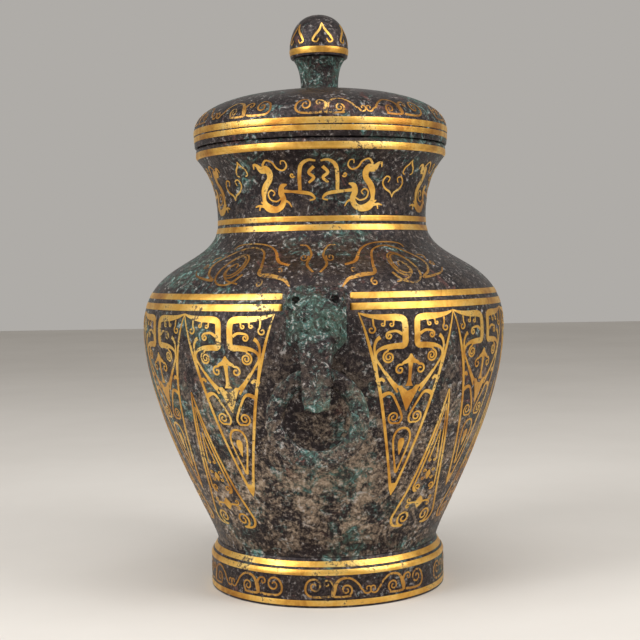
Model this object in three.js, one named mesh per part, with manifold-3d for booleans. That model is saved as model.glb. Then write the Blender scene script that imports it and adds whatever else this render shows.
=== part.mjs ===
// A bronze jar with a foot, a lid with a knob, inlaid gold bands, two animal masks and two loose rings.
// Millimetres, +Z up. The origin is the middle of the foot's resting face, and the front mask faces -Y.

import * as THREE from 'three';
import { mergeVertices } from 'three/addons/utils/BufferGeometryUtils.js';
import Module from 'manifold-3d';

const wasm = await Module();
wasm.setup();

// Fits
const gap = 0.3;
const mouthPlay = 0.4;
const ringPlay = 0.5;

// Foot ring
const footRadius = 66;
const footHeight = 25.7;
const footWall = 5;
const footStraight = 17.5;
const seatWidth = 7;
const seatDepth = 6;

// Body
const waistRadius = 62.1;
const bellyRadius = 101.4;
const bellyRise = 119.2;
const waistPull = 8.2;
const bellyPull = 47.3;
const shoulderRise = 58.8;
const shoulderPull = 40.2;
const neckRadius = 58.7;
const neckPull = 25.5;
const neckRise = 36.1;
const lipRadius = 70.15;
const lipHeight = 5.2;
const lipRound = 0.9;
const wall = 3.5;
const floorThickness = 4;
const mouthRadius = 63;
const mouthDepth = 11;

// Lid
const lidRadius = 71.3;
const lidEdge = 7.7;
const lidRise = 24;
const lidWall = 3;
const flangeDepth = 9;
const flangeWall = 2.5;

// Knob
const stemRadius = 10.5;
const stemTopRadius = 14.5;
const stemHeight = 17.4;
const capRadius = 16.5;
const capEdge = 3.8;
const capHeight = 24.7;

// Gold bands: how far they go into their grooves and stand proud
const bandDepth = 1;
const bandProud = 0.15;

// Mask and hook
const maskWidth = 29.5;
const maskTop = 169.3;
const maskChin = 135.5;
const maskThickness = 4.5;
const eyeRadius = 3.6;
const hornRadius = 4.6;
const strapFront = 15.6;
const strapBack = 12;
const strapThickness = 3.2;
const strapDrop = 17;
const bandToMask = 2;

// Ring
const ringOuter = 25.3;
const ringHole = 16.1;
const ringThickness = 5;
const ringRound = 2;
const ringAway = 106;
const ringHeight = 104.6;

const segments = 32;
const knobSegments = 24;
const ringSegments = 32;

// Levels that follow from the sizes above
const bodyBottom = footHeight + gap;
const bellyLevel = bodyBottom + bellyRise;
const neckLevel = bellyLevel + shoulderRise;
const lipLevel = neckLevel + neckRise;
const rimLevel = lipLevel + lipHeight;
const lidBottom = rimLevel + gap;
const domeLevel = lidBottom + lidEdge;
const lidTop = domeLevel + lidRise;
const stemBottom = lidTop + gap;
const capBottom = stemBottom + stemHeight + gap;

function solidOf(geometry) {
  const bare = geometry.clone();
  bare.deleteAttribute('normal');
  bare.deleteAttribute('uv');
  const merged = mergeVertices(bare, 1e-4);
  const index = merged.index.array;
  const place = merged.attributes.position.array;
  const corner = (i) => new THREE.Vector3().fromArray(place, 3 * i);
  const triangles = [];
  let volume = 0;
  for (let i = 0; i < index.length; i += 3) {
    const [a, b, c] = [index[i], index[i + 1], index[i + 2]];
    if (a === b || b === c || c === a) continue;
    triangles.push([a, b, c]);
    volume += corner(a).dot(corner(b).cross(corner(c)));
  }
  const outward = volume > 0 ? triangles : triangles.map(([a, b, c]) => [a, c, b]);
  return new wasm.Manifold(new wasm.Mesh({
    numProp: 3,
    vertProperties: new Float32Array(place),
    triVerts: new Uint32Array(outward.flat()),
  }));
}

function geometryOf(solid) {
  const mesh = solid.getMesh();
  const geometry = new THREE.BufferGeometry();
  geometry.setAttribute('position', new THREE.BufferAttribute(new Float32Array(mesh.vertProperties), 3));
  geometry.setIndex(new THREE.BufferAttribute(new Uint32Array(mesh.triVerts), 1));
  geometry.computeVertexNormals();
  return geometry;
}

// A solid of revolution about +Z from a closed outline of [radius, height] points
function revolve(outline, count = segments) {
  const points = [...outline, outline[0]].map(([r, z]) => new THREE.Vector2(r, z));
  return solidOf(new THREE.LatheGeometry(points, count).rotateX(Math.PI / 2));
}

function curve(start, pull, draw, end, steps) {
  const bezier = new THREE.CubicBezierCurve(...[start, pull, draw, end].map((p) => new THREE.Vector2(...p)));
  return bezier.getPoints(steps).map((p) => [p.x, p.y]);
}

function radiusOn(outline) {
  return (level) => {
    const next = Math.max(1, outline.findIndex(([, z]) => z >= level));
    const [r0, z0] = outline[next - 1];
    const [r1, z1] = outline[next];
    return r0 + ((r1 - r0) * (level - z0)) / (z1 - z0);
  };
}

// A ring that follows an outline between two levels, from a depth inside it to a height outside it
function ringOn(outline, low, high, inside, outside, count = segments) {
  const radius = radiusOn(outline);
  const levels = [low, ...outline.map(([, z]) => z).filter((z) => z > low && z < high), high];
  const out = levels.map((z) => [radius(z) + outside, z]);
  const back = levels.map((z) => [radius(z) - inside, z]).reverse();
  return revolve([...out, ...back], count);
}

function band(outline, low, high, count) {
  return ringOn(outline, low, high, bandDepth, bandProud, count);
}

function groove(outline, low, high, count) {
  return ringOn(outline, low - gap, high + gap, bandDepth + gap, 2 * bandDepth, count);
}

// An outline drawn as seen from the front (x, height), running from one distance off the axis to another
function frontSolid(outline, near, far) {
  const shape = new THREE.Shape(outline.map((p) => new THREE.Vector2(...p)));
  const geometry = new THREE.ExtrudeGeometry(shape, { depth: far - near, bevelEnabled: false });
  return solidOf(geometry.translate(0, 0, near).rotateX(Math.PI / 2));
}

// An outline drawn as seen from the side (distance off the axis, height), as wide as given
function sideSolid(outline, width) {
  const shape = new THREE.Shape(outline.map((p) => new THREE.Vector2(...p)));
  const geometry = new THREE.ExtrudeGeometry(shape, { depth: width, bevelEnabled: false });
  geometry.translate(0, 0, -width / 2);
  const turn = new THREE.Matrix4().makeBasis(
    new THREE.Vector3(0, -1, 0), new THREE.Vector3(0, 0, 1), new THREE.Vector3(-1, 0, 0));
  return solidOf(geometry.applyMatrix4(turn));
}

function arcPoints(x, y, radius, from, to, steps) {
  return Array.from({ length: steps + 1 }, (_, i) => {
    const angle = from + ((to - from) * i) / steps;
    return [x + radius * Math.cos(angle), y + radius * Math.sin(angle)];
  });
}

const darkBronze = { color: 0x3a3034, roughness: 0.55, metalness: 0.8 };
const greenBronze = { color: 0x4f5a4a, roughness: 0.7, metalness: 0.6 };
const gold = { color: 0xd9a441, roughness: 0.35, metalness: 1 };

const jar = new THREE.Group();

function piece(name, solid, finish, parent = jar) {
  const mesh = new THREE.Mesh(geometryOf(solid), new THREE.MeshStandardMaterial(finish));
  mesh.name = name;
  parent.add(mesh);
  return mesh;
}

// The foot, a ring cast apart and soldered under the body
const footOutside = [
  [footRadius, 0],
  ...curve([footRadius, footStraight], [footRadius, footStraight + 3],
    [waistRadius + 1.1, footHeight - 3.9], [waistRadius, footHeight], 5),
];
const footInside = [
  [waistRadius - seatWidth, footHeight],
  [waistRadius - seatWidth, footHeight - seatDepth],
  [footRadius - footWall, footHeight - 2 * seatDepth],
  [footRadius - footWall, 0],
];
const footBands = {
  foot_band_base: [1.2, 4.1],
  foot_band_middle: [17.3, 20.3],
  foot_band_upper: [21.5, 24.1],
};
let footRing = revolve([...footOutside, ...footInside]);
for (const [name, [low, high]] of Object.entries(footBands)) {
  footRing = footRing.subtract(groove(footOutside, low, high));
  piece(name, band(footOutside, low, high), gold);
}
piece('foot_ring', footRing, darkBronze);

// The body: belly, shoulder, neck and lip in one casting, with its wall inside them
const bodyOutside = [
  ...curve([waistRadius, bodyBottom], [waistRadius, bodyBottom + waistPull],
    [bellyRadius, bellyLevel - bellyPull], [bellyRadius, bellyLevel], 9),
  ...curve([bellyRadius, bellyLevel], [bellyRadius, bellyLevel + shoulderPull],
    [neckRadius, neckLevel - neckPull], [neckRadius, neckLevel], 8).slice(1),
  ...curve([neckRadius, neckLevel], [neckRadius, neckLevel + 0.62 * neckRise],
    [lipRadius - 5.8, lipLevel - 7.5], [lipRadius, lipLevel], 5).slice(1),
  [lipRadius, rimLevel - lipRound],
  [lipRadius - lipRound, rimLevel],
];
const floorLevel = bodyBottom + floorThickness;
const mouthBottom = rimLevel - mouthDepth;
const bodyInside = bodyOutside
  .filter(([r, z]) => z > floorLevel + wall && z < mouthBottom - 2)
  .filter((_, i) => i % 2 === 0)
  .map(([r, z]) => [r - wall, z])
  .reverse();
let body = revolve([
  [0, bodyBottom],
  ...bodyOutside,
  [mouthRadius, rimLevel],
  [mouthRadius, mouthBottom],
  ...bodyInside,
  [waistRadius - 2 * wall, floorLevel],
  [0, floorLevel],
]);
const bodyBands = {
  neck_band_lower: [197.7, 200.7],
  neck_band_upper: [202.4, 205.2],
  rim_band: [239.3, 242.7],
};
for (const [name, [low, high]] of Object.entries(bodyBands)) {
  body = body.subtract(groove(bodyOutside, low, high));
  piece(name, band(bodyOutside, low, high), gold);
}

// The shoulder bands stop short of the masks, so each is a left and a right arc in a groove of its own
const reach = 4 * bellyRadius;
function sideOf(side, from) {
  const block = new THREE.BoxGeometry(reach, reach, reach);
  return solidOf(block.translate(side * (from + reach / 2), 0, bellyLevel));
}
const shoulderBands = { shoulder_band_lower: [157.2, 160.6], shoulder_band_upper: [162.8, 165.8] };
const arcStart = maskWidth / 2 + bandToMask;
for (const [name, [low, high]] of Object.entries(shoulderBands)) {
  for (const [word, side] of [['left', -1], ['right', 1]]) {
    const cut = groove(bodyOutside, low, high).intersect(sideOf(side, arcStart - gap));
    body = body.subtract(cut);
    piece(`${name}_${word}`, band(bodyOutside, low, high).intersect(sideOf(side, arcStart)), gold);
  }
}
piece('vessel_body', body, darkBronze);

// The lid: a low dome with a flange that drops inside the mouth
const dome = curve([lidRadius, domeLevel], [lidRadius, domeLevel + 0.55 * lidRise],
  [0.757 * lidRadius, lidTop - 2.8], [stemRadius + 1.5, lidTop], 7);
const lidOutside = [[lidRadius - 0.7, lidBottom], ...dome];
const flangeRadius = mouthRadius - mouthPlay;
const domeInside = dome
  .filter(([r]) => r < flangeRadius - flangeWall - lidWall)
  .map(([r, z]) => [r, z - lidWall])
  .reverse();
let lid = revolve([
  [flangeRadius, lidBottom],
  ...lidOutside,
  [0, lidTop],
  [0, lidTop - lidWall],
  ...domeInside,
  [flangeRadius - flangeWall, lidBottom + lidWall],
  [flangeRadius - flangeWall, lidBottom - flangeDepth],
  [flangeRadius, lidBottom - flangeDepth],
]);
const lidBands = { lid_band_lower: [2.8, 5.4], lid_band_upper: [6.4, 9.4] };
for (const [name, [low, high]] of Object.entries(lidBands)) {
  lid = lid.subtract(groove(lidOutside, lidBottom + low, lidBottom + high));
  piece(name, band(lidOutside, lidBottom + low, lidBottom + high), gold);
}
piece('lid_shell', lid, darkBronze);

// The knob: a flaring stem under a domed cap with a gold band round its edge
const stemSide = curve([stemRadius, stemBottom], [stemRadius, stemBottom + 0.5 * stemHeight],
  [stemRadius + 1, stemBottom + 0.75 * stemHeight], [stemTopRadius, stemBottom + stemHeight], 5);
piece('knob_stem', revolve([[0, stemBottom], ...stemSide, [0, stemBottom + stemHeight]], knobSegments),
  greenBronze);
const capDome = curve([capRadius, capBottom + capEdge], [capRadius, capBottom + 0.6 * capHeight],
  [0.72 * capRadius, capBottom + capHeight], [0, capBottom + capHeight], 7);
const capOutside = [[capRadius - 1, capBottom], ...capDome];
const knobBand = [capBottom + 1.6, capBottom + 5];
piece('knob_cap', revolve([[0, capBottom], ...capOutside], knobSegments)
  .subtract(groove(capOutside, ...knobBand, knobSegments)), darkBronze);
piece('knob_band', band(capOutside, ...knobBand, knobSegments), gold);

// The ring and the hook of the mask share the ring's swing about its own top
const ringMiddle = (ringOuter + ringHole) / 2;
const pivotLevel = ringHeight + ringMiddle;
const swingRadius = (ringOuter - ringHole) / 2 + ringPlay;
const strapNear = ringAway + swingRadius + 1;
const strapFar = strapNear + strapThickness;
const strapBottom = pivotLevel - strapDrop;
const pocketTop = pivotLevel + swingRadius + 1;

function bodyGrown(by) {
  return revolve([[0, bodyBottom], ...bodyOutside.map(([r, z]) => [r + by, z]), [0, rimLevel]]);
}

function maskSolid() {
  const half = maskWidth / 2;
  const corner = 6;
  const cheek = 6.7;
  const plate = frontSolid([
    [half, maskChin + cheek],
    ...arcPoints(half - corner, maskTop - corner, corner, 0, Math.PI / 2, 4),
    ...arcPoints(corner - half, maskTop - corner, corner, Math.PI / 2, Math.PI, 4),
    [-half, maskChin + cheek],
    [-half + cheek, maskChin],
    [half - cheek, maskChin],
  ], bellyRadius - 20, strapFar).intersect(bodyGrown(maskThickness));

  const foreheadTop = maskTop - 3;
  const head = sideSolid([
    [bellyRadius - 15, maskChin + 4],
    [bellyRadius - 15, foreheadTop],
    [bellyRadius + 1, foreheadTop],
    [strapNear - 6, foreheadTop - 7],
    [strapNear - 4, foreheadTop - 15],
    [strapFar - 2, maskChin + 8],
    [strapFar, maskChin + 3],
    [strapFar, pocketTop],
    [bellyRadius - 4, pocketTop],
  ], strapFront);

  const eyeLevel = maskChin + 17;
  const eyes = [-1, 1].map((side) => solidOf(new THREE.SphereGeometry(eyeRadius, 8, 6)
    .translate(side * (strapFront / 2 + 0.8), -(bellyRadius + maskThickness + 0.5), eyeLevel)));

  const hornLevel = maskTop - hornRadius - 2;
  const horns = [-1, 1].map((side) => {
    const middle = side * (half - hornRadius - 0.6);
    const outer = arcPoints(middle, hornLevel, hornRadius, 0, 2 * Math.PI, 10).slice(1);
    const inner = arcPoints(middle, hornLevel, 0.45 * hornRadius, 0, 2 * Math.PI, 8).slice(1);
    const near = bellyRadius - 20;
    const far = bellyRadius + maskThickness + 1;
    return frontSolid(outer, near, far).subtract(frontSolid(inner, far - 2 * maskThickness, far + 1));
  });

  // The tongue hangs in front of the ring, wider outside than inside so that the ring can lift round it
  const bevelled = new THREE.Shape([
    [-strapBack / 2, -strapNear], [strapBack / 2, -strapNear],
    [strapFront / 2, -strapFar], [-strapFront / 2, -strapFar],
  ].map((p) => new THREE.Vector2(...p)));
  const tongueLength = maskChin + 4 - strapBottom;
  const strip = solidOf(new THREE.ExtrudeGeometry(bevelled, { depth: tongueLength, bevelEnabled: false })
    .translate(0, 0, strapBottom));
  const tipRadius = strapFront / 2 - 0.8;
  const tongueFront = frontSolid([
    [strapFront / 2, maskChin + 5],
    [-strapFront / 2, maskChin + 5],
    ...arcPoints(0, strapBottom + tipRadius, tipRadius, Math.PI, 2 * Math.PI, 8),
  ], strapNear - 1, strapFar + 1);
  const tongue = strip.intersect(tongueFront);

  // The tongue's end turns back through the ring's hole to the wall, and the ring hangs on it
  const holeBar = frontSolid(arcPoints(0, ringHeight, ringHole - ringPlay, 0, 2 * Math.PI, 32).slice(1),
    bellyRadius - 20, strapFar);
  const back = sideSolid([
    [bellyRadius - 20, strapBottom + 1.2],
    [strapFar - 0.8, strapBottom + 1.2],
    [strapFar - 0.8, pivotLevel - swingRadius],
    [bellyRadius - 20, pivotLevel - swingRadius],
  ], strapBack).intersect(holeBar);

  const whole = [head, ...eyes, ...horns, tongue, back].reduce((sum, part) => sum.add(part), plate);
  return whole.subtract(bodyGrown(gap));
}

function ringSolid() {
  const inner = ringHole + ringRound;
  const outer = ringOuter - ringRound;
  const edge = ringThickness / 2 - ringRound;
  const quarter = Math.PI / 2;
  return revolve([
    ...arcPoints(outer, edge, ringRound, 0, quarter, 1),
    ...arcPoints(inner, edge, ringRound, quarter, 2 * quarter, 1),
    ...arcPoints(inner, -edge, ringRound, 2 * quarter, 3 * quarter, 1),
    ...arcPoints(outer, -edge, ringRound, 3 * quarter, 4 * quarter, 1),
  ], ringSegments);
}

for (const [word, turn] of [['front', 0], ['back', Math.PI]]) {
  const side = new THREE.Group();
  side.rotation.z = turn;
  jar.add(side);
  piece(`mask_${word}`, maskSolid(), greenBronze, side);
  const ring = piece(`ring_${word}`, ringSolid(), darkBronze, side);
  ring.rotation.x = Math.PI / 2;
  ring.position.set(0, -ringAway, ringHeight);
}

export default jar;
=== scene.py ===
import math

import bmesh
import bpy
import numpy as np
from mathutils import Matrix, Vector, noise as bumps


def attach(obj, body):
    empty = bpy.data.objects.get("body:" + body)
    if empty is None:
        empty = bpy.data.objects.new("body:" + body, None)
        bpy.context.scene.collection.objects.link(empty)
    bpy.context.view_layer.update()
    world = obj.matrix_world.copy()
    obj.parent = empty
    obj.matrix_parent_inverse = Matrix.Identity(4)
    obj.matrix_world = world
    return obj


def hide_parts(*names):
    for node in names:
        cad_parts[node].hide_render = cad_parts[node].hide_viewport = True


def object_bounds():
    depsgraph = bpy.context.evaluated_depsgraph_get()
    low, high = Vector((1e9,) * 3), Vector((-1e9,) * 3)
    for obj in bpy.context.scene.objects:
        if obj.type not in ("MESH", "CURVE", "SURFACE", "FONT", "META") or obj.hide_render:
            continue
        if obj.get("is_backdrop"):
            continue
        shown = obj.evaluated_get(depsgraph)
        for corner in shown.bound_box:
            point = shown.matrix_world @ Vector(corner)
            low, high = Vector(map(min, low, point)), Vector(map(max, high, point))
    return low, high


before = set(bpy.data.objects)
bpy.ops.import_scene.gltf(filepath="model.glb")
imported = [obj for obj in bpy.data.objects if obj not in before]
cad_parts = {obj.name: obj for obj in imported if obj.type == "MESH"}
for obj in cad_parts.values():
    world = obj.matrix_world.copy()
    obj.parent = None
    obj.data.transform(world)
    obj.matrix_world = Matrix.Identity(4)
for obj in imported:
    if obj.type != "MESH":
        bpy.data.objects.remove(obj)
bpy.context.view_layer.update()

# The camera stands a little right of the front mask, level with the shoulder, and looks slightly down.
# It is rolled by a degree, so that the jar leans a little to the left.
camera_away = 0.7336
camera_height = 0.1801
camera_aside = 0.0020
camera_turn = math.radians(2.2)
camera_pitch = math.radians(2.49)
camera_roll = math.radians(1.0)
camera_data = bpy.data.cameras.new("camera")
camera_data.lens = 72.56
camera = bpy.data.objects.new("camera", camera_data)
bpy.context.collection.objects.link(camera)
camera_place = Vector((
    camera_away * math.sin(camera_turn) - camera_aside,
    -camera_away * math.cos(camera_turn),
    camera_height,
))
camera.matrix_world = (
    Matrix.Translation(camera_place)
    @ Matrix.Rotation(camera_turn, 4, "Z")
    @ Matrix.Rotation(math.pi / 2 - camera_pitch, 4, "X")
    @ Matrix.Rotation(-camera_roll, 4, "Z")
)
bpy.context.scene.camera = camera
bpy.context.scene.view_settings.view_transform = "Standard"

# Soft studio light: a large panel on each side in front and one overhead, in a plain pale room.
# Each panel faces the middle of the jar.
jar_middle = Vector((0, 0, 0.16))
panel_height = 0.9
for side, away, angle, height, power, width in (
    ("left", 1.1, -52, 0.75, 12.5, 0.55),
    ("right", 1.1, 62, 0.80, 11, 0.55),
    ("above", 0.35, 10, 1.45, 6.5, 0.9),
):
    light_data = bpy.data.lights.new("panel_" + side, "AREA")
    light_data.energy = power
    light_data.shape = "RECTANGLE"
    light_data.size = width
    light_data.size_y = panel_height
    light = bpy.data.objects.new("panel_" + side, light_data)
    bpy.context.collection.objects.link(light)
    turn = math.radians(angle)
    light.location = (away * math.sin(turn), -away * math.cos(turn), height)
    light.rotation_euler = (jar_middle - light.location).to_track_quat("-Z", "Y").to_euler()

room = bpy.data.worlds.new("room")
bpy.context.scene.world = room
room.use_nodes = True
room_light = room.node_tree.nodes["Background"]
room_light.inputs["Color"].default_value = (0.78, 0.75, 0.71, 1)
room_light.inputs["Strength"].default_value = 0.55


# The table is a plain pale board, with hardly any grain. It isn't part of the jar.
# Its finish is the first that is mixed from patterns, so what feeds such patterns is set out here.
def feed(tree, socket, value):
    if isinstance(value, bpy.types.NodeSocket):
        tree.links.new(value, socket)
    else:
        socket.default_value = value


def pattern_node(tree, kind, **inputs):
    made = tree.nodes.new("ShaderNode" + kind)
    for name, value in inputs.items():
        feed(tree, made.inputs[name], value)
    return made


def noise(tree, where, scale, detail=6.0, rough=0.6, warp=0.0):
    made = pattern_node(
        tree, "TexNoise", Vector=where, Scale=scale, Detail=detail, Roughness=rough, Distortion=warp
    )
    return made.outputs["Fac"]


def ramp(tree, value, *stops):
    made = pattern_node(tree, "ValToRGB", Fac=value)
    elements = made.color_ramp.elements
    while len(elements) < len(stops):
        elements.new(0.5)
    for element, (position, color) in zip(elements, stops):
        element.position = position
        element.color = (*color, 1) if isinstance(color, tuple) else (color, color, color, 1)
    return made.outputs["Color"]


table_width = 6
bpy.ops.object.select_all(action="DESELECT")
bpy.ops.mesh.primitive_plane_add(size=table_width)
table = bpy.context.object
table.name = "floor"
table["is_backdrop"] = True
table_look = bpy.data.materials.new("pale_table")
table_look.use_nodes = True
table_tree = table_look.node_tree
table_surface = table_tree.nodes["Principled BSDF"]
table_grain = noise(table_tree, pattern_node(table_tree, "TexCoord").outputs["Object"], 3.0)
table_color = ramp(table_tree, table_grain, (0.3, (0.60, 0.57, 0.53)), (0.7, (0.66, 0.63, 0.59)))
table_tree.links.new(table_color, table_surface.inputs["Base Color"])
table_surface.inputs["Roughness"].default_value = 0.7
table.data.materials.append(table_look)


# The body is one hollow bronze casting: belly, shoulder, neck and a thick lip. It is turned here from its
# outline. Long burial left it nearly black, with green and teal crusts, red-brown spots and tan earth.
mm = 0.001
crease = math.radians(35)
body_steps = 224
body_wall = 3.5
inside_bottom = 34
inside_top = 231


def math_node(tree, operation, one, other):
    made = tree.nodes.new("ShaderNodeMath")
    made.operation = operation
    feed(tree, made.inputs[0], one)
    feed(tree, made.inputs[1], other)
    return made.outputs[0]


def lay_over(tree, mask, under, over):
    made = tree.nodes.new("ShaderNodeMix")
    made.data_type = "RGBA"
    feed(tree, made.inputs[0], mask)
    feed(tree, made.inputs[6], under)
    feed(tree, made.inputs[7], over)
    return made.outputs[2]


def spread(tree, value, low, high):
    made = pattern_node(tree, "MapRange", Value=value)
    made.inputs["To Min"].default_value = low
    made.inputs["To Max"].default_value = high
    return made.outputs[0]


def finish_group(name, amounts):
    tree = bpy.data.node_groups.new(name, "ShaderNodeTree")
    for title, usual in amounts.items():
        socket = tree.interface.new_socket(title, in_out="INPUT", socket_type="NodeSocketFloat")
        socket.default_value = usual
    tree.interface.new_socket("Color", in_out="OUTPUT", socket_type="NodeSocketColor")
    for title in ("Roughness", "Metal", "Height"):
        tree.interface.new_socket(title, in_out="OUTPUT", socket_type="NodeSocketFloat")
    amount = tree.nodes.new("NodeGroupInput").outputs
    result = tree.nodes.new("NodeGroupOutput").inputs
    where = pattern_node(tree, "TexCoord").outputs["Object"]
    return tree, amount, result, where


crust, amount, result, place = finish_group(
    "old_bronze", {"Green": 0.5, "Earth": 1.0, "Red": 0.5, "Pale": 0.5, "Grain": 1.0}
)
scaled = pattern_node(crust, "VectorMath", Vector=place)
scaled.operation = "SCALE"
feed(crust, scaled.inputs["Scale"], amount["Grain"])
where = scaled.outputs[0]
broad = noise(crust, where, 22.0, 9.0, 0.68, 0.5)
middle = noise(crust, where, 85.0, 10.0, 0.72, 0.8)
small = noise(crust, where, 190.0, 9.0, 0.74, 1.2)
fine = noise(crust, where, 480.0, 8.0, 0.78)
color = ramp(
    crust, fine,
    (0.38, (0.006, 0.004, 0.005)), (0.52, (0.024, 0.017, 0.018)),
    (0.63, (0.070, 0.054, 0.053)), (0.76, (0.24, 0.19, 0.17)),
)
green = ramp(
    crust, small,
    (0.36, (0.010, 0.026, 0.020)), (0.50, (0.045, 0.085, 0.060)),
    (0.60, (0.07, 0.19, 0.17)), (0.70, (0.17, 0.36, 0.38)),
)
green_seed = math_node(crust, "ADD", broad, math_node(crust, "MULTIPLY", small, 0.75))
green_seed = math_node(crust, "ADD", green_seed, amount["Green"])
green_mask = ramp(crust, math_node(crust, "MULTIPLY", green_seed, 0.6), (0.60, 0.0), (0.68, 0.9))
color = lay_over(crust, green_mask, color, green)

red = ramp(crust, fine, (0.4, (0.030, 0.008, 0.008)), (0.62, (0.20, 0.055, 0.035)))
red_mask = ramp(crust, noise(crust, where, 52.0, 9.0, 0.72, 1.2), (0.59, 0.0), (0.66, 1.0))
red_mask = math_node(crust, "MULTIPLY", red_mask, amount["Red"])
color = lay_over(crust, red_mask, color, red)

level = pattern_node(crust, "SeparateXYZ", Vector=place).outputs["Z"]
low_belly = ramp(
    crust, math_node(crust, "MULTIPLY", level, 5.0), (0.12, 0.25), (0.22, 1.0), (0.50, 0.75), (0.70, 0.10)
)
earth = ramp(
    crust, fine, (0.38, (0.07, 0.050, 0.035)), (0.52, (0.26, 0.185, 0.125)), (0.66, (0.50, 0.40, 0.29))
)
earth_seed = math_node(crust, "ADD", middle, math_node(crust, "MULTIPLY", fine, 0.55))
earth_mask = math_node(crust, "MULTIPLY", ramp(crust, earth_seed, (0.74, 0.0), (0.86, 1.0)), low_belly)
earth_mask = math_node(crust, "MULTIPLY", earth_mask, amount["Earth"])
color = lay_over(crust, earth_mask, color, earth)

pale_seed = math_node(crust, "ADD", small, math_node(crust, "MULTIPLY", fine, 0.8))
pale_mask = ramp(crust, math_node(crust, "MULTIPLY", pale_seed, 0.8), (0.79, 0.0), (0.84, 1.0))
pale_mask = math_node(crust, "MULTIPLY", pale_mask, amount["Pale"])
color = lay_over(crust, pale_mask, color, (0.42, 0.38, 0.36, 1))

covered = green_mask
for mask in (earth_mask, red_mask, pale_mask):
    covered = math_node(crust, "MAXIMUM", covered, mask)
relief = math_node(crust, "ADD", math_node(crust, "MULTIPLY", covered, 0.7), fine)
feed(crust, result["Color"], color)
feed(crust, result["Roughness"], spread(crust, covered, 0.36, 0.80))
feed(crust, result["Metal"], spread(crust, covered, 0.70, 0.05))
feed(crust, result["Height"], relief)


def finish(name, group, depth, **amounts):
    look = bpy.data.materials.new(name)
    look.use_nodes = True
    tree = look.node_tree
    surface = tree.nodes["Principled BSDF"]
    used = tree.nodes.new("ShaderNodeGroup")
    used.node_tree = group
    for title, value in amounts.items():
        used.inputs[title].default_value = value
    tree.links.new(used.outputs["Color"], surface.inputs["Base Color"])
    tree.links.new(used.outputs["Roughness"], surface.inputs["Roughness"])
    tree.links.new(used.outputs["Metal"], surface.inputs["Metallic"])
    bump = pattern_node(tree, "Bump", Height=used.outputs["Height"], Strength=0.6, Distance=depth)
    tree.links.new(bump.outputs["Normal"], surface.inputs["Normal"])
    return look


def bezier(start, pull, draw, end, steps):
    t = np.linspace(0, 1, steps + 1)[:, None]
    a, b, c, d = (np.array(p, float) for p in (start, pull, draw, end))
    return (1 - t) ** 3 * a + 3 * (1 - t) ** 2 * t * b + 3 * (1 - t) * t**2 * c + t**3 * d


# An outline of radius and height in mm is turned round the jar's axis. One that starts off the axis is
# closed first, so that it makes a hoop.
def turned(name, outline, look, body, replaced, steps):
    corners = [(r * mm, 0.0, z * mm) for r, z in outline]
    count = len(corners)
    edges = count if outline[0][0] > 0 else count - 1
    mesh = bpy.data.meshes.new(name)
    mesh.from_pydata(corners, [(i, (i + 1) % count) for i in range(edges)], [])
    made = bpy.data.objects.new(name, mesh)
    bpy.context.collection.objects.link(made)
    bpy.ops.object.select_all(action="DESELECT")
    made.select_set(True)
    bpy.context.view_layer.objects.active = made
    screw = made.modifiers.new("turn", "SCREW")
    screw.steps = steps
    screw.render_steps = steps
    screw.use_merge_vertices = True
    screw.merge_threshold = 1e-6
    bpy.ops.object.modifier_apply(modifier="turn")
    bpy.ops.object.mode_set(mode="EDIT")
    bpy.ops.mesh.select_all(action="SELECT")
    bpy.ops.mesh.remove_doubles(threshold=1e-7)
    bpy.ops.mesh.normals_make_consistent(inside=False)
    bpy.ops.object.mode_set(mode="OBJECT")
    bpy.ops.object.shade_smooth_by_angle(angle=crease)
    made.data.materials.append(look)
    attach(made, body)
    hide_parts(replaced)
    return made


bronze = finish("body_bronze", crust, 0.0006, Green=0.085, Earth=1.0, Red=0.7, Pale=0.7)
body_bottom = (62.1, 26)
belly = (101.4, 145.2)
neck = (58.7, 204)
lip_corner = (70.15, 240.1)
body_side = np.vstack([
    bezier(body_bottom, (62.1, 34.2), (101.4, 97.9), belly, 44),
    bezier(belly, (101.4, 185.4), (58.7, 178.5), neck, 36)[1:],
    bezier(neck, (58.7, 226.4), (64.35, 232.6), lip_corner, 24)[1:],
])
lip = [(70.15, 243.6), (69.9, 244.6), (69.2, 245.3), (63.6, 245.3), (63.0, 244.7), (63.0, 234.3)]
body_inside = [(r - body_wall, z) for r, z in body_side[::-3] if inside_bottom < z < inside_top]
turned(
    "body_casting",
    [(0, 26)] + [tuple(p) for p in body_side] + lip + body_inside + [(55, 30), (0, 30)],
    bronze, "vessel", "vessel_body", body_steps,
)

# The foot is a hollow bronze ring, cast apart and soldered under the body. It stands straight below
# and rounds in to the waist. It has less crust than the belly.
polished = finish("lid_bronze", crust, 0.0004, Green=0.055, Earth=0.25, Red=0.6, Pale=0.5)
foot_side = np.vstack([[(66, 0.4)], bezier((66, 17.5), (66, 20.5), (63.2, 21.8), (62.1, 25.7), 14)])
foot_inside = [(55.1, 25.7), (55.1, 19.7), (61, 13.7), (61, 0)]
turned(
    "foot_casting", [(65.6, 0)] + [tuple(p) for p in foot_side] + foot_inside,
    polished, "vessel", "foot_ring", body_steps,
)

# The lid is a low hollow dome of bronze with a rounded edge. It rests on the lip, and a flange under it
# drops inside the mouth and keeps it in place.
lid_steps = 200
lid_side = np.vstack([
    [(70.6, 245.6), (70.9, 246.2)],
    bezier((71.3, 253.3), (71.3, 266.5), (54, 274.5), (12, 277.3), 30),
])
lid_inside = [(0, 277.3), (0, 274.3), (30, 272.6), (50, 265), (60.1, 248.6)]
lid_flange = [(60.1, 236.6), (62.6, 236.6)]
turned(
    "lid_casting", [(62.6, 245.6)] + [tuple(p) for p in lid_side] + lid_inside + lid_flange,
    polished, "lid", "lid_shell", lid_steps,
)

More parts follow.
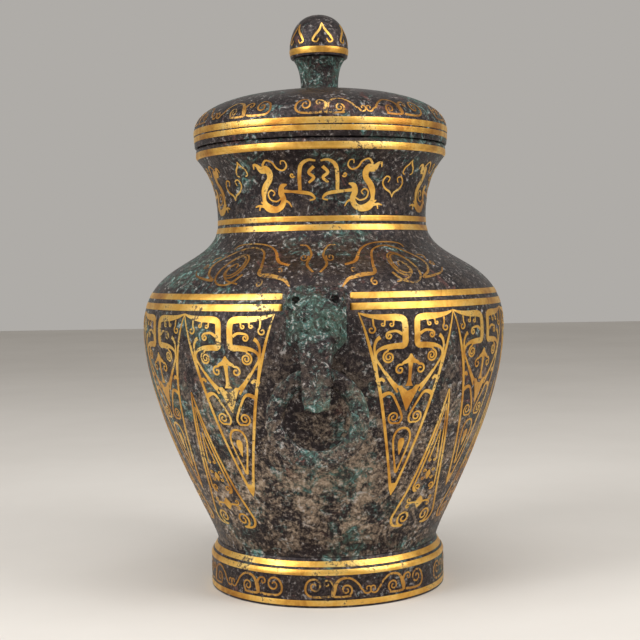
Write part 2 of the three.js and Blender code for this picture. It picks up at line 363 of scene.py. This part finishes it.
# The knob is two bronze castings. A flaring stem, green with age, stands on the lid, and a dark domed
# cap is set on the stem.
green_bronze = finish(
    "mask_bronze", crust, 0.0007, Green=0.19, Earth=0.6, Red=0.6, Pale=1.0, Grain=1.6
)
knob_steps = 96
stem_side = bezier((10.5, 277.6), (10.5, 286.3), (11.5, 290.7), (14.5, 295), 14)
turned(
    "knob_stem_casting", [(0, 277.6)] + [tuple(p) for p in stem_side] + [(0, 295)],
    green_bronze, "lid", "knob_stem", knob_steps,
)
cap_side = np.vstack([
    [(15.5, 295.3), (16.0, 295.8)],
    bezier((16.5, 299.1), (16.5, 310.1), (11.9, 320), (0, 320), 22),
])
turned(
    "knob_cap_casting", [(0, 295.3)] + [tuple(p) for p in cap_side],
    polished, "lid", "knob_cap", knob_steps,
)

# Gold bands are hammered into grooves right round the jar and burnished, a hair proud of the bronze.
# The gold is bright where it is rubbed, orange-brown where it is thin, and lost in small dark pits.
gilding, amount, result, where = finish_group("worn_gold", {"Wear": 0.5, "Dull": 0.0})
patches = noise(gilding, where, 38.0, 7.0, 0.66, 0.5)
scratches = noise(gilding, where, 520.0, 8.0, 0.74)
bright = ramp(
    gilding, patches, (0.36, (0.50, 0.22, 0.040)), (0.50, (0.80, 0.46, 0.095)), (0.64, (0.93, 0.66, 0.22))
)
dull = ramp(
    gilding, patches, (0.38, (0.20, 0.085, 0.022)), (0.52, (0.48, 0.24, 0.060)), (0.66, (0.74, 0.46, 0.13))
)
color = lay_over(gilding, amount["Dull"], bright, dull)
lost_seed = math_node(gilding, "ADD", patches, math_node(gilding, "MULTIPLY", scratches, 0.9))
lost_seed = math_node(gilding, "ADD", lost_seed, amount["Wear"])
lost = ramp(gilding, math_node(gilding, "MULTIPLY", lost_seed, 0.6), (0.66, 0.0), (0.70, 0.92))
color = lay_over(gilding, lost, color, (0.035, 0.022, 0.020, 1))
feed(gilding, result["Color"], color)
feed(gilding, result["Roughness"], spread(gilding, scratches, 0.24, 0.58))
feed(gilding, result["Metal"], spread(gilding, lost, 1.0, 0.3))
feed(gilding, result["Height"], scratches)
gold = finish("inlaid_gold", gilding, 0.0002, Wear=0.04, Dull=0.15)

band_proud = 0.16
band_edge = 0.45
band_depth = 0.5
band_rows = 7
band_steps = 200


def radius_on(side, z):
    return float(np.interp(z, side[:, 1], side[:, 0]))


def band(name, side, low, high, body, replaced):
    levels = np.linspace(low, high, band_rows)
    rise = [band_edge] + [1] * (band_rows - 2) + [band_edge]
    front = [(radius_on(side, z) + band_proud * share, z) for z, share in zip(levels, rise)]
    back = [(radius_on(side, z) - band_depth, z) for z in levels[::-1]]
    return turned(name, front + back, gold, body, replaced, band_steps)


body_full = np.vstack([body_side, [(70.15, 243.6)]])
band("foot_gold_base", foot_side, 1.2, 4.1, "vessel", "foot_band_base")
band("foot_gold_middle", foot_side, 17.3, 20.2, "vessel", "foot_band_middle")
band("foot_gold_upper", foot_side, 21.4, 24.1, "vessel", "foot_band_upper")
band("neck_gold_lower", body_full, 197.7, 200.7, "vessel", "neck_band_lower")
band("neck_gold_upper", body_full, 202.4, 205.2, "vessel", "neck_band_upper")
band("rim_gold", body_full, 239.1, 242.8, "vessel", "rim_band")
band("lid_gold_lower", lid_side, 248.5, 251.3, "lid", "lid_band_lower")
band("lid_gold_upper", lid_side, 252.0, 255.3, "lid", "lid_band_upper")
band("knob_gold", cap_side, 296.9, 300.3, "lid", "knob_band")

# Two more gold bands go round the top of the belly. They stop short of each mask, so each is laid as
# a left and a right arc.
mask_clear = 16.75 * mm
for height, low, high in (("lower", 157.2, 160.6), ("upper", 162.8, 165.8)):
    for word, side in (("left", -1), ("right", 1)):
        band(
            f"shoulder_gold_{height}_{word}", body_full, low, high,
            "vessel", f"shoulder_band_{height}_{word}",
        )
        bpy.ops.object.mode_set(mode="EDIT")
        bpy.ops.mesh.select_all(action="SELECT")
        bpy.ops.mesh.bisect(
            plane_co=(side * mask_clear, 0, 0), plane_no=(side, 0, 0), use_fill=True, clear_inner=True
        )
        bpy.ops.object.mode_set(mode="OBJECT")

# Hanging pointed leaves go round the belly, five between the masks on each side, with tall rising leaves
# on curled feet between them. Each line is a strip of gold hammered into a cut groove.
strip_proud = 0.12
strip_rise = 0.003
strip_heights = 9
strip_depth = 0.25
strip_length = 0.9
strip_thinnest = 0.15
curl_steps = 12
curl_tightening = 0.82
curl_thinning = 0.3


# A path is rows of turn in degrees, height in mm and width in mm. It is drawn on the unrolled surface,
# rounded, and laid back on the jar as one closed strip. Crossing strips differ a little in height.
class Inlay:
    def __init__(self, name, side, body, look):
        self.name, self.side, self.body, self.look = name, side, body, look
        self.walk = np.concatenate([[0], np.cumsum(np.hypot(*np.diff(side, axis=0).T))])
        self.points, self.faces, self.strips = [], [], 0

    def unrolled(self, turn, z):
        along = np.interp(z, self.side[:, 1], self.walk)
        return np.array([math.radians(turn) * radius_on(self.side, z), along])

    def on_jar(self, spot, middle, out):
        z = float(np.interp(spot[1], self.walk, self.side[:, 1]))
        r = radius_on(self.side, z)
        turn = math.radians(middle) + spot[0] / r
        return ((r + out) * math.sin(turn) * mm, -(r + out) * math.cos(turn) * mm, z * mm)

    def strip(self, middle, path, flip=False, closed=False):
        sign = -1 if flip else 1
        spots = np.array([self.unrolled(sign * turn, z) for turn, z, _ in path])
        wide = np.array([width for _, _, width in path])
        if len(path) > 2:
            spots, wide = rounded(spots, wide, closed)
        ahead = np.gradient(spots, axis=0)
        if closed:
            ahead = np.roll(spots, -1, axis=0) - np.roll(spots, 1, axis=0)
        ahead /= np.maximum(np.linalg.norm(ahead, axis=1), 1e-9)[:, None]
        across = np.stack([-ahead[:, 1], ahead[:, 0]], 1) * wide[:, None] / 2
        self.strips += 1
        top = strip_proud + strip_rise * (self.strips % strip_heights)
        first = len(self.points)
        for spot, half in zip(spots, across):
            self.points += [
                self.on_jar(spot + half, middle, top),
                self.on_jar(spot - half, middle, top),
                self.on_jar(spot - half, middle, -strip_depth),
                self.on_jar(spot + half, middle, -strip_depth),
            ]
        count = len(spots)
        for i in range(count if closed else count - 1):
            a, b = first + 4 * i, first + 4 * ((i + 1) % count)
            self.faces += [(a + k, a + (k + 1) % 4, b + (k + 1) % 4, b + k) for k in range(4)]
        if not closed:
            end = first + 4 * (count - 1)
            self.faces += [(first + 3, first + 2, first + 1, first), (end, end + 1, end + 2, end + 3)]

    def pair(self, middle, path):
        self.strip(middle, path)
        self.strip(middle, path, flip=True)

    def lay(self):
        mesh = bpy.data.meshes.new(self.name)
        mesh.from_pydata(self.points, [], self.faces)
        made = bpy.data.objects.new(self.name, mesh)
        bpy.context.collection.objects.link(made)
        shape = bmesh.new()
        shape.from_mesh(mesh)
        bmesh.ops.recalc_face_normals(shape, faces=shape.faces)
        shape.to_mesh(mesh)
        shape.free()
        made.data.materials.append(self.look)
        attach(made, self.body)


def rounded(spots, wide, closed):
    rows = np.column_stack([spots, wide])
    if closed:
        rows = np.vstack([rows[-1], rows, rows[0], rows[1]])
    else:
        rows = np.vstack([2 * rows[0] - rows[1], rows, 2 * rows[-1] - rows[-2]])
    out = []
    for a, b, c, d in zip(rows, rows[1:], rows[2:], rows[3:]):
        steps = max(2, int(np.linalg.norm(c[:2] - b[:2]) / strip_length))
        for t in np.arange(steps) / steps:
            bend = (2 * a - 5 * b + 4 * c - d) * t**2 + (3 * b - a - 3 * c + d) * t**3
            out.append(0.5 * (2 * b + (c - a) * t + bend))
    if not closed:
        out.append(rows[-2])
    out = np.array(out)
    return out[:, :2], np.maximum(out[:, 2], strip_thinnest)


# A curl runs from its outer end inwards and thins on the way. The radius is in mm, the start in degrees.
def curl(side, turn, z, radius, turns, start, wide, clockwise=False):
    rows = []
    degrees_per_mm = math.degrees(1 / radius_on(side, z))
    steps = int(curl_steps * turns)
    for i in range(steps + 1):
        share = i / steps
        angle = math.radians(start) + (-1 if clockwise else 1) * 2 * math.pi * turns * share
        reach = radius * (1 - curl_tightening * share)
        rows.append((
            turn + reach * math.cos(angle) * degrees_per_mm,
            z + reach * math.sin(angle),
            wide * (1 - curl_thinning * share),
        ))
    return rows


leaves = Inlay("belly_leaves", body_side, "vessel", gold)


def hanging_leaf(m):
    s = body_side
    edge = [
        (15.7, 155.8, 0.6), (12.4, 137, 1.5), (9.3, 117, 1.6), (6.3, 95, 1.5), (3.4, 77, 1.3),
        (1.0, 64.5, 1.6), (0.1, 60.5, 0.6),
    ]
    bracket = [
        (15.4, 155.4, 0.8), (12.5, 154.0, 1.9), (8.5, 153.2, 3.0), (4.5, 153.0, 3.4), (2.4, 152.0, 3.4),
        (1.95, 149, 3.3), (1.95, 144, 3.3), (1.95, 140.5, 3.3), (2.7, 138.9, 3.2), (5.5, 138.8, 2.6),
        (8.3, 138.3, 1.9), (10.4, 136.4, 1.4), (10.9, 133.2, 1.3), (9.4, 129.0, 1.2), (6.6, 122.0, 1.2),
        (3.6, 115.2, 1.2),
    ]
    leaves.pair(m, edge)
    leaves.pair(m, bracket)
    leaves.pair(m, [(4.0, 138.0, 1.0), (7.0, 137.4, 1.1)] + curl(s, 7.0, 133.3, 3.2, 1.9, 80, 1.0, True))
    inner_hook = [(2.9, 144.6, 1.6), (4.6, 146.2, 1.3), (6.4, 146.0, 1.1)]
    leaves.pair(m, inner_hook + curl(s, 6.9, 143.9, 1.8, 1.3, 70, 1.0, True))
    leaves.pair(m, [(5.4, 151.6, 1.0)] + curl(s, 6.2, 149.6, 1.3, 1.0, 150, 0.8))
    leaves.pair(m, [(8.0, 151.8, 1.0)] + curl(s, 8.8, 149.8, 1.2, 1.0, 150, 0.8))
    leaves.pair(m, [(11.6, 152.4, 1.0)] + curl(s, 12.1, 147.2, 2.2, 1.1, 120, 0.9))
    outer_line = [
        (9.6, 143.4, 2.0), (10.6, 142.0, 1.6), (11.3, 138.4, 1.2), (10.9, 131.4, 1.1), (10.4, 124.6, 1.4),
    ]
    leaves.pair(m, outer_line)
    anchor_arm = [(0.05, 134.6, 0.5), (0.8, 131.4, 2.2), (2.3, 130.2, 1.5)]
    leaves.pair(m, anchor_arm + curl(s, 3.3, 126.8, 2.7, 1.2, 110, 1.1, True))
    leaves.strip(m, [(0, 134.2, 0.5), (0, 131.2, 3.0), (0, 127, 1.9), (0, 121, 2.0), (0, 118.2, 4.4)])
    leaves.pair(m, [(7.9, 126.0, 1.0), (5.6, 121.2, 1.1), (3.7, 117.6, 2.2)])
    leaves.strip(m, [(0, 118.6, 13.0), (0, 117.6, 12.0), (0, 110.2, 4.8), (0, 105.4, 0.4)])
    leaves.pair(m, [(10.5, 121.0, 2.0), (8.9, 122.4, 1.8), (8.0, 121.0, 1.1)])
    lower_arm = [
        (9.1, 113.0, 2.4), (7.0, 114.9, 2.0), (5.3, 114.4, 1.4), (3.7, 110.4, 1.2), (1.9, 105.0, 1.2),
        (1.2, 101.6, 1.1), (2.0, 99.2, 1.0),
    ]
    leaves.pair(m, lower_arm + curl(s, 4.0, 102.3, 3.3, 1.6, 245, 1.0))
    drop = [
        (0, 96.4, 1.2), (2.0, 95.2, 1.2), (3.05, 91.0, 1.1), (2.3, 84.0, 1.0), (1.0, 77.0, 1.0),
        (0, 72.6, 1.6), (-1.0, 77.0, 1.0), (-2.3, 84.0, 1.0), (-3.05, 91.0, 1.1), (-2.0, 95.2, 1.2),
    ]
    leaves.strip(m, drop, closed=True)
    leaves.strip(m, [(0, 91.0, 1.8), (0, 89.4, 3.5), (0, 86.0, 2.6), (0, 82.0, 0.4)])
    leaves.strip(m, [(0, 66.5, 2.2), (0, 63.5, 1.9), (0, 59.8, 0.4)])


def rising_leaf(m):
    s = body_side
    outer = [
        (0.1, 115.0, 0.5), (1.2, 105, 1.3), (4.6, 80, 1.4), (7.7, 63, 1.4), (11.2, 51, 1.4),
        (12.6, 45.4, 1.4), (10.6, 41.6, 1.3),
    ]
    inner = [(0.1, 107.0, 0.5), (2.9, 82, 1.1), (5.2, 66, 1.1), (5.6, 62.4, 1.1), (4.8, 60.4, 1.0)]
    leaves.pair(m, outer + curl(s, 6.2, 45.4, 4.4, 1.5, 262, 1.3))
    leaves.pair(m, inner + curl(s, 3.5, 62.4, 2.1, 1.3, 270, 1.0))
    leaves.strip(m, [(0, 57.0, 0.4), (0, 53.6, 5.6), (0, 50.2, 0.4)])
    leaves.pair(m, [(1.6, 53.6, 1.0), (4.4, 53.8, 1.0)] + curl(s, 5.9, 55.4, 1.5, 1.0, 250, 0.8))
    leaves.pair(m, [(3.8, 53.8, 0.9)] + curl(s, 5.7, 51.8, 1.4, 1.0, 110, 0.8, True))
    leaves.strip(m, [(0, 71.6, 0.4), (0, 69.2, 3.6), (0, 66.4, 0.4)])
    leaves.pair(m, curl(s, 2.3, 71.2, 1.1, 1.0, 200, 0.7, True))
    leaves.pair(m, curl(s, 2.4, 67.4, 1.1, 1.0, 160, 0.7))
    tip_line = [(0.05, 93.4, 0.4), (0.9, 85.0, 0.9), (1.7, 78.4, 0.9)]
    leaves.pair(m, tip_line + curl(s, 1.1, 77.2, 1.0, 0.9, 20, 0.8, True))


leaf_pitch = 31.2
for half_turn in (0, 180):
    for step in range(5):
        hanging_leaf(half_turn + 90 + (step - 2) * leaf_pitch)
    for step in range(4):
        rising_leaf(half_turn + 90 + (step - 1.5) * leaf_pitch)
leaves.lay()

# Four pairs of long-necked birds go round the neck, each pair turned away from a square scroll, with
# small forked scrolls between the pairs. They are gold, inlaid as the leaves are.
birds = Inlay("neck_birds", body_side, "vessel", gold)
bird_strips = {
    "head_neck_and_body": [
        (-5.2, 230.2, 0.5), (-4.6, 232.4, 1.3), (-3.0, 232.0, 2.0), (-1.1, 229.6, 3.9), (1.4, 230.0, 4.2),
        (2.9, 227.6, 3.6), (2.3, 224.6, 3.0), (-0.2, 221.6, 3.3), (-1.8, 218.2, 3.2), (-2.0, 214.6, 2.2),
        (-1.4, 211.6, 3.8), (1.2, 209.6, 4.0), (5.0, 209.0, 3.2), (8.0, 211.0, 3.0), (9.0, 214.4, 2.8),
        (7.8, 217.4, 3.2), (8.6, 220.9, 2.6), (11.2, 221.8, 0.7),
    ],
    "crest": [
        (0.0, 231.8, 1.2), (2.4, 234.3, 1.0), (5.4, 233.2, 1.0), (7.2, 230.2, 1.0), (10.0, 229.0, 0.9),
        (12.2, 231.0, 0.8), (11.6, 233.6, 0.7), (9.8, 233.6, 0.6), (9.5, 232.0, 0.5),
    ],
    "wing": [
        (7.6, 214.6, 0.9), (5.0, 213.2, 0.8), (1.6, 214.4, 0.8), (0.6, 217.6, 0.8), (2.6, 219.2, 0.8),
        (4.4, 217.6, 0.7), (3.2, 216.2, 0.6),
    ],
    "breast": [(-1.4, 211.4, 1.6), (-4.2, 213.2, 0.5)],
    "leg": [(-1.4, 210.6, 1.5), (-5.6, 211.2, 1.1), (-7.8, 210.6, 0.5)],
    "claw": [(-4.8, 211.0, 1.0), (-5.3, 208.6, 0.5)],
    "upper_tail": [(8.0, 218.6, 1.8), (12.0, 218.2, 1.5), (15.6, 218.0, 0.5)],
    "lower_tail": [(8.6, 213.6, 1.6), (11.6, 212.6, 1.0), (13.2, 210.0, 0.5)],
}
fork = [
    (0, 214.8, 0.5), (1.0, 217.2, 1.0), (5.0, 219.6, 1.0), (6.6, 222.8, 0.9), (4.8, 225.6, 0.8),
    (2.4, 224.8, 0.7), (3.4, 222.6, 0.6),
]
top_fork = [(0, 234.6, 0.5), (1.0, 232.4, 1.0), (3.0, 230.4, 0.9), (3.6, 227.8, 0.7), (2.0, 227.0, 0.6)]
square_scroll = [
    [(1.2, 233.4, 1.0), (4.6, 233.8, 1.6), (8.0, 231.4, 2.1), (9.2, 226.0, 2.0), (9.4, 218.6, 1.8)],
    [(2.0, 230.6, 1.8), (4.6, 227.6, 1.6), (2.2, 225.0, 1.6), (4.8, 222.4, 1.2)],
    [(15.6, 218.2, 0.8), (9.0, 217.6, 1.8), (4.0, 216.6, 1.6), (2.0, 214.2, 1.0), (4.6, 213.4, 0.7)],
    curl(body_side, 12.8, 226.4, 1.3, 1.1, 200, 0.8),
]
for quarter in (0, 90, 180, 270):
    for turn, flip in ((-26.4, False), (27.0, True)):
        for path in bird_strips.values():
            birds.strip(quarter + turn, path, flip=flip)
    birds.pair(quarter + 41, fork)
    birds.pair(quarter + 50, top_fork)
    for path in square_scroll:
        birds.pair(quarter + 0.75, path)
birds.lay()

# A running scroll goes round the foot and round the lid above its bands: pairs of curls joined by long
# links. This gold is thin, and dull and brown for the most part.
thin_gold = finish("thin_inlaid_gold", gilding, 0.0002, Wear=0.10, Dull=0.9)
scroll_repeats = 10
scroll_start = 4.0


def running_scroll(inlay, low, tall):
    def level(share):
        return low + tall * share

    s = inlay.side
    link = [
        (-1.0, level(0.06), 1.2), (-5.0, level(0.02), 1.2), (-10.4, level(0.06), 1.1),
        (-12.4, level(0.35), 1.1), (-11.6, level(0.75), 1.1),
    ]
    arc = [
        (0.2, level(0.02), 1.6), (0.6, level(0.35), 2.6), (1.8, level(0.70), 1.8), (4.0, level(0.93), 1.3),
        (8.0, level(0.97), 1.1), (11.6, level(0.70), 1.0), (13.4, level(0.40), 1.0),
    ]
    horn = [(1.0, level(0.55), 1.5), (-0.4, level(0.82), 1.2)]
    base = [(0.6, level(0.04), 1.2), (4.0, level(0.01), 1.1), (8.4, level(0.05), 1.0)]
    paths = [
        link + curl(s, -8.2, level(0.58), tall * 0.38, 1.3, 120, 1.0, True),
        arc + curl(s, 16.6, level(0.36), tall * 0.28, 1.1, 190, 0.9),
        horn + curl(s, -2.4, level(0.70), tall * 0.20, 1.0, 60, 0.9),
        base + curl(s, 6.4, level(0.36), tall * 0.32, 1.4, 300, 1.0),
    ]
    for k in range(scroll_repeats):
        for path in paths:
            inlay.strip(k * 360 / scroll_repeats + scroll_start, path, flip=k % 2 == 1)
    inlay.lay()


running_scroll(Inlay("foot_scroll", foot_side, "vessel", thin_gold), 5.7, 10.2)
running_scroll(Inlay("lid_scroll", lid_side, "lid", thin_gold), 257.2, 8.2)

# On the shoulder a great coiled beast lies on each side of each mask, with curling crests and tail.
# It is thin gold, worn brown.
coils = Inlay("shoulder_coils", body_side, "vessel", thin_gold)
coil_paths = [
    [
        (8.0, 168.6, 0.6), (10.5, 172.6, 2.2), (15.5, 174.6, 3.2), (19.5, 175.4, 2.2), (20.6, 180.0, 1.4),
        (23.6, 186.4, 1.2), (29.0, 189.0, 1.2), (35.0, 188.6, 1.2), (41.0, 185.4, 1.2), (44.0, 180.6, 1.2),
        (41.0, 175.8, 1.6), (37.0, 172.6, 1.8), (46.0, 174.6, 1.4), (50.0, 177.4, 0.7),
    ],
    curl(body_side, 32.0, 178.6, 9.4, 1.6, 200, 1.3),
    curl(body_side, 31.6, 178.4, 8.0, 1.4, 20, 1.2),
    [
        (10.0, 179.6, 2.0), (14.6, 181.6, 2.0), (18.4, 187.0, 1.4), (24.0, 190.2, 1.0), (33.0, 191.2, 0.9),
        (40.5, 190.4, 0.8), (42.0, 188.4, 0.6),
    ],
    [(26.0, 170.6, 1.0), (31.0, 172.6, 1.2), (34.0, 176.6, 1.0)],
    curl(body_side, 18.4, 170.8, 2.0, 1.2, 90, 0.9),
    curl(body_side, 47.2, 180.0, 1.6, 1.1, 180, 0.8),
    curl(body_side, 12.6, 176.8, 1.4, 1.0, 40, 0.8),
    [(45.0, 184.4, 0.9), (47.6, 183.6, 0.9), (46.6, 181.8, 0.6)],
    [(1.2, 176.0, 1.2), (3.6, 180.0, 1.4), (2.4, 185.0, 1.2), (4.6, 189.4, 1.0), (8.0, 190.0, 0.7)],
    curl(body_side, 5.2, 183.6, 2.2, 1.2, 160, 0.9),
]
for half_turn in (0, 180):
    for flip in (False, True):
        for path in coil_paths:
            coils.strip(half_turn, path, flip=flip)
coils.lay()

# Six small flames with curling sides rise from the band on the knob's cap. They are gold, inlaid in
# the cap as the other figures are in the body.
flames = Inlay("knob_flames", cap_side, "lid", gold)
flame = [
    (0, 313.6, 0.4), (6, 309.6, 1.2), (16, 306.0, 1.2), (20, 303.4, 0.9), (12, 302.6, 0.7), (8, 304.6, 0.6)
]
for k in range(6):
    flames.pair(60 * k + 10, flame)
flames.lay()

# The masks are beasts' heads, each cast in one with the tongue that hooks the ring, and soldered to the
# shoulder. Skull, brows, snout and curled horns are fused to the hook, softened, and rough with crust.
mask_front_reach = 115.2
mask_voxel = 0.42
mask_softenings = 5
horn_curl = 3.7
horn_thickness = 1.1
horn_place = (9.4, 105.6, 162.6)
horn_lean = math.radians(76)
crumbs = ((0.55, 330), (0.35, 900))
above_ring_level = 132
crust_fade = 4
thinnest_crust = 0.15
# Each lump: how far it is aside, out and up, then its half width, depth and height, all in mm
mask_lumps = (
    (0, 103.2, 151.5, 13.2, 9.4, 14.5),
    (0, 107.2, 141.6, 9.6, 7.8, 8.2),
    (5.6, 109.6, 155.6, 4.4, 3.6, 3.2),
    (6.4, 111.0, 150.4, 2.5, 2.4, 2.3),
    (3.4, 113.0, 140.2, 2.6, 2.1, 2.2),
    (8.6, 108.2, 144.6, 3.4, 3.2, 4.2),
    (9.55, 102.6, 162.7, 2.7, 2.6, 2.7),
    (0, 108.4, 161.0, 2.2, 2.4, 4.6),
    (12.0, 103.0, 153.4, 2.2, 3.0, 4.4),
)
for word, turn in (("front", 0), ("back", math.pi)):
    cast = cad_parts["mask_" + word].copy()
    cast.data = cast.data.copy()
    cast.parent = None
    cast.name = "mask_casting_" + word
    cast.data.materials.clear()
    bpy.context.collection.objects.link(cast)
    cast.hide_render = False
    joined = [cast]
    for x, y, z, wide, deep, tall in mask_lumps:
        for side in (-1, 1) if x else (1,):
            bpy.ops.mesh.primitive_uv_sphere_add(
                segments=24, ring_count=14, location=(side * x * mm, -y * mm, z * mm)
            )
            bpy.context.object.scale = (wide * mm, deep * mm, tall * mm)
            joined.append(bpy.context.object)
    x, y, z = horn_place
    for side in (-1, 1):
        bpy.ops.mesh.primitive_torus_add(
            major_radius=horn_curl * mm, minor_radius=horn_thickness * mm,
            major_segments=28, minor_segments=10,
            location=(side * x * mm, -y * mm, z * mm), rotation=(horn_lean, 0, 0),
        )
        joined.append(bpy.context.object)
    bpy.context.view_layer.update()
    for lump in joined[1:]:
        lump.matrix_world = Matrix.Rotation(turn, 4, "Z") @ lump.matrix_world
    bpy.ops.object.select_all(action="DESELECT")
    for lump in joined:
        lump.select_set(True)
    bpy.context.view_layer.objects.active = cast
    bpy.ops.object.join()
    fuse = cast.modifiers.new("fuse", "REMESH")
    fuse.mode = "VOXEL"
    fuse.voxel_size = mask_voxel * mm
    bpy.ops.object.modifier_apply(modifier="fuse")
    soften = cast.modifiers.new("soften", "SMOOTH")
    soften.factor = 0.5
    soften.iterations = mask_softenings
    bpy.ops.object.modifier_apply(modifier="soften")

    # The crust is thin on the hook, where the ring rubs, and nothing stands out past the tongue
    points = np.empty(len(cast.data.vertices) * 3)
    outward = np.empty(len(cast.data.vertices) * 3)
    cast.data.vertices.foreach_get("co", points)
    cast.data.vertices.foreach_get("normal", outward)
    points, outward = points.reshape(-1, 3), outward.reshape(-1, 3)
    crumble = [sum(size * bumps.noise(Vector(p) * scale) for size, scale in crumbs) for p in points]
    thickness = np.clip((points[:, 2] / mm - above_ring_level) / crust_fade, thinnest_crust, 1)
    points += outward * (np.array(crumble) * thickness * mm)[:, None]
    points[:, 1] = np.clip(points[:, 1], -mask_front_reach * mm, mask_front_reach * mm)
    cast.data.vertices.foreach_set("co", points.ravel())
    cast.data.update()
    bpy.ops.object.shade_smooth()
    cast.data.materials.clear()
    cast.data.materials.append(green_bronze)
    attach(cast, "vessel")
    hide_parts("mask_" + word)

# The rings are solid bronze castings, flat in front and behind with worn round edges. Each hangs loose
# in the hook of its mask's tongue and swings there.
ring_bronze = finish(
    "ring_bronze", crust, 0.0006, Green=0.10, Earth=0.6, Red=0.9, Pale=0.8, Grain=1.4
)
ring_away = 106
ring_level = 104.6
ring_edge = 2.0
ring_edge_steps = 4
ring_steps = 128
ring_corners = ((23.3, 0.5, 0), (18.1, 0.5, 90), (18.1, -0.5, 180), (23.3, -0.5, 270))
ring_section = []
for x, y, start in ring_corners:
    for step in range(ring_edge_steps + 1):
        angle = math.radians(start + 90 / ring_edge_steps * step)
        ring_section.append((x + ring_edge * math.cos(angle), y + ring_edge * math.sin(angle)))
for word, side in (("front", -1), ("back", 1)):
    hoop = turned(
        f"ring_casting_{word}", ring_section,
        ring_bronze, f"ring_{word}", f"ring_{word}", ring_steps,
    )
    hang = Matrix.Translation((0, side * ring_away * mm, ring_level * mm))
    hoop.data.transform(hang @ Matrix.Rotation(math.pi / 2, 4, "X"))
    hoop.data.update()

low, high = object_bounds()
